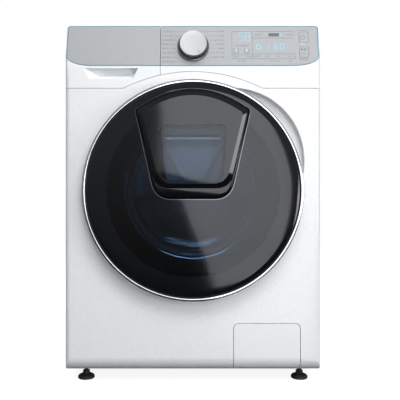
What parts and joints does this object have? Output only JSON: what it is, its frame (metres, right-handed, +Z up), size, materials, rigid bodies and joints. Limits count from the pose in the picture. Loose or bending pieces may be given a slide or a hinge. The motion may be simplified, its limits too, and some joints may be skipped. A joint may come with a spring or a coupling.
{
  "type": "front load washing machine",
  "caption": "Free-standing front load washing machine with a round porthole door, an add-laundry hatch in the door, a leaning control face, a detergent drawer and a sprung tub",
  "frame": {"origin": "centre of the bounding box on the floor plane under the feet", "axes": "+Z up, front of the machine faces -Y, +X to the right of a person facing the machine"},
  "size_m": [0.6, 0.617, 0.845],
  "materials": {
    "white_enamel": "gloss white enamel on sheet steel",
    "white_plastic": "moulded white plastic",
    "silver_face": "silver-grey fine brushed panel",
    "chrome_ring": "bright chrome plating",
    "dark_chrome": "dark chrome plating",
    "knob_metal": "spun aluminium",
    "dark_glass": "dark tinted gloss cover",
    "bowl_glass": "clear pressed glass",
    "grey_plastic": "moulded grey plastic",
    "pale_plastic": "moulded pale grey plastic",
    "black_plastic": "moulded black plastic",
    "drum_steel": "stainless steel",
    "zinc_steel": "galvanised steel",
    "spider_alloy": "die-cast aluminium",
    "bearing_steel": "ground steel",
    "copper_windings": "enamelled copper windings",
    "bellows_rubber": "grey rubber",
    "hose_rubber": "black rubber",
    "concrete": "cast concrete"
  },
  "bodies": {
    "cabinet": {"front_panel": "white_enamel", "side_panel_left": "white_enamel", "side_panel_right": "white_enamel", "rear_panel": "zinc_steel", "rear_access_cover": "zinc_steel", "worktop": "white_plastic", "base_tray": "black_plastic", "console_body": "white_plastic", "console_face": "silver_face", "knob_bezel": "dark_chrome", "dispenser_housing": "pale_plastic", "control_board": "pale_plastic", "drain_pump": "black_plastic", "sump_hose": "hose_rubber", "inlet_valve": "pale_plastic", "drain_outlet": "black_plastic", "mains_gland": "black_plastic", "door_lock": "black_plastic", "door_hinge": "zinc_steel"},
    "flap": {"service_flap": "white_plastic"},
    "drawer": {"drawer_front": "white_plastic", "drawer_face": "silver_face", "drawer_tray": "pale_plastic"},
    "dial": {"knob_cap": "knob_metal"},
    "power_key": {"power_button": "silver_face"},
    "start_key": {"start_button": "silver_face"},
    "tub": {"tub_front": "grey_plastic", "tub_rear": "grey_plastic", "door_seal": "bellows_rubber", "counterweight_top": "concrete", "counterweight_front": "concrete", "bearing_cartridge": "bearing_steel", "stator": "copper_windings", "spring_left": "zinc_steel", "spring_right": "zinc_steel"},
    "drum": {"drum_shell": "drum_steel", "drum_rear": "spider_alloy", "drum_paddle_1": "grey_plastic", "drum_paddle_2": "grey_plastic", "drum_paddle_3": "grey_plastic", "drum_shaft": "bearing_steel"},
    "agitator": {"pulsator": "grey_plastic", "motor_rotor": "zinc_steel"},
    "damper_tube_left": {"damper_cylinder_left": "black_plastic"},
    "damper_tube_right": {"damper_cylinder_right": "black_plastic"},
    "damper_bar_left": {"damper_rod_left": "zinc_steel"},
    "damper_bar_right": {"damper_rod_right": "zinc_steel"},
    "filter_plug": {"drain_filter": "grey_plastic"},
    "door": {"door_ring": "chrome_ring", "door_cover": "dark_glass", "door_frame": "pale_plastic", "door_glass": "bowl_glass", "hatch_surround": "dark_glass"},
    "door_latch": {"door_hook": "zinc_steel"},
    "hatch": {"hatch_window": "bowl_glass", "hatch_frame": "black_plastic"},
    "front_left_foot": {"foot_front_left": "black_plastic"},
    "front_right_foot": {"foot_front_right": "black_plastic"},
    "rear_left_foot": {"foot_rear_left": "black_plastic"},
    "rear_right_foot": {"foot_rear_right": "black_plastic"}
  },
  "joints": [
    {"name": "door_swing", "type": "hinge", "parent": "cabinet", "child": "door", "pos_m": [-0.238, -0.2725, 0.452], "axis": [0, 0, -1], "range_deg": [0, 155]},
    {"name": "latch_give", "type": "hinge", "parent": "door", "child": "door_latch", "pos_m": [0.2035, -0.2685, 0.452], "axis": [0, 0, 1], "range_deg": [0, 5], "stiffness_Nm_per_rad": 0.6, "springref_deg": -2.86},
    {"name": "hatch_swing", "type": "hinge", "parent": "door", "child": "hatch", "pos_m": [-0.1045, -0.3085, 0.5455], "axis": [0.2257, 0, -0.9742], "range_deg": [0, 95]},
    {"name": "drawer_slide", "type": "slide", "parent": "cabinet", "child": "drawer", "axis": [0, -1, 0], "range_m": [0, 0.2]},
    {"name": "dial_turn", "type": "hinge", "parent": "cabinet", "child": "dial", "pos_m": [0.001, -0.24203, 0.79155], "axis": [0, -0.9799, 0.1994], "continuous": true},
    {"name": "power_press", "type": "slide", "parent": "cabinet", "child": "power_key", "axis": [0, 0.9799, -0.1994], "range_m": [0, 0.001], "stiffness_N_per_m": 900, "springref_m": -0.0008},
    {"name": "start_press", "type": "slide", "parent": "cabinet", "child": "start_key", "axis": [0, 0.9799, -0.1994], "range_m": [0, 0.001], "stiffness_N_per_m": 900, "springref_m": -0.0008},
    {"name": "flap_swing", "type": "hinge", "parent": "cabinet", "child": "flap", "pos_m": [0.17375, -0.2354, 0.0332], "axis": [1, 0, 0], "range_deg": [0, 85]},
    {"name": "filter_turn", "type": "hinge", "parent": "cabinet", "child": "filter_plug", "pos_m": [0.17375, -0.1915, 0.087], "axis": [0, -1, 0], "range_deg": [-90, 0]},
    {"name": "tub_float", "type": "slide", "parent": "cabinet", "child": "tub", "axis": [0, 0, 1], "range_m": [-0.01, 0.01], "stiffness_N_per_m": 9000, "springref_m": 0.04316, "deforming": ["door_seal", "spring_left", "spring_right", "sump_hose"]},
    {"name": "drum_spin", "type": "hinge", "parent": "tub", "child": "drum", "pos_m": [0, -0.0015, 0.452], "axis": [0, 1, 0], "continuous": true},
    {"name": "agitator_spin", "type": "hinge", "parent": "tub", "child": "agitator", "pos_m": [0, 0.1685, 0.452], "axis": [0, 1, 0], "continuous": true},
    {"name": "damper_tube_tilt_left", "type": "hinge", "parent": "cabinet", "child": "damper_tube_left", "pos_m": [-0.238, 0.0485, 0.061], "axis": [0, -1, 0], "range_deg": [-0.66, 0.66]},
    {"name": "damper_bar_tilt_left", "type": "hinge", "parent": "tub", "child": "damper_bar_left", "pos_m": [-0.188, 0.0485, 0.26478], "axis": [0, -1, 0], "range_deg": [-0.66, 0.66]},
    {"name": "damper_tube_tilt_right", "type": "hinge", "parent": "cabinet", "child": "damper_tube_right", "pos_m": [0.238, 0.0485, 0.061], "axis": [0, 1, 0], "range_deg": [-0.66, 0.66]},
    {"name": "damper_bar_tilt_right", "type": "hinge", "parent": "tub", "child": "damper_bar_right", "pos_m": [0.188, 0.0485, 0.26478], "axis": [0, 1, 0], "range_deg": [-0.66, 0.66]},
    {"name": "front_left_foot_turn", "type": "hinge", "parent": "cabinet", "child": "front_left_foot", "pos_m": [-0.258, -0.2035, 0.02], "axis": [0, 0, 1], "continuous": true},
    {"name": "front_right_foot_turn", "type": "hinge", "parent": "cabinet", "child": "front_right_foot", "pos_m": [0.258, -0.2035, 0.02], "axis": [0, 0, 1], "continuous": true},
    {"name": "rear_left_foot_turn", "type": "hinge", "parent": "cabinet", "child": "rear_left_foot", "pos_m": [-0.258, 0.2435, 0.02], "axis": [0, 0, 1], "continuous": true},
    {"name": "rear_right_foot_turn", "type": "hinge", "parent": "cabinet", "child": "rear_right_foot", "pos_m": [0.258, 0.2435, 0.02], "axis": [0, 0, 1], "continuous": true}
  ],
  "couplings": [
    {"joint": "damper_tube_tilt_left", "follows": "tub_float", "rad_per_m": 1.1357},
    {"joint": "damper_bar_tilt_left", "follows": "tub_float", "rad_per_m": 1.1357},
    {"joint": "damper_tube_tilt_right", "follows": "tub_float", "rad_per_m": 1.1357},
    {"joint": "damper_bar_tilt_right", "follows": "tub_float", "rad_per_m": 1.1357}
  ]
}
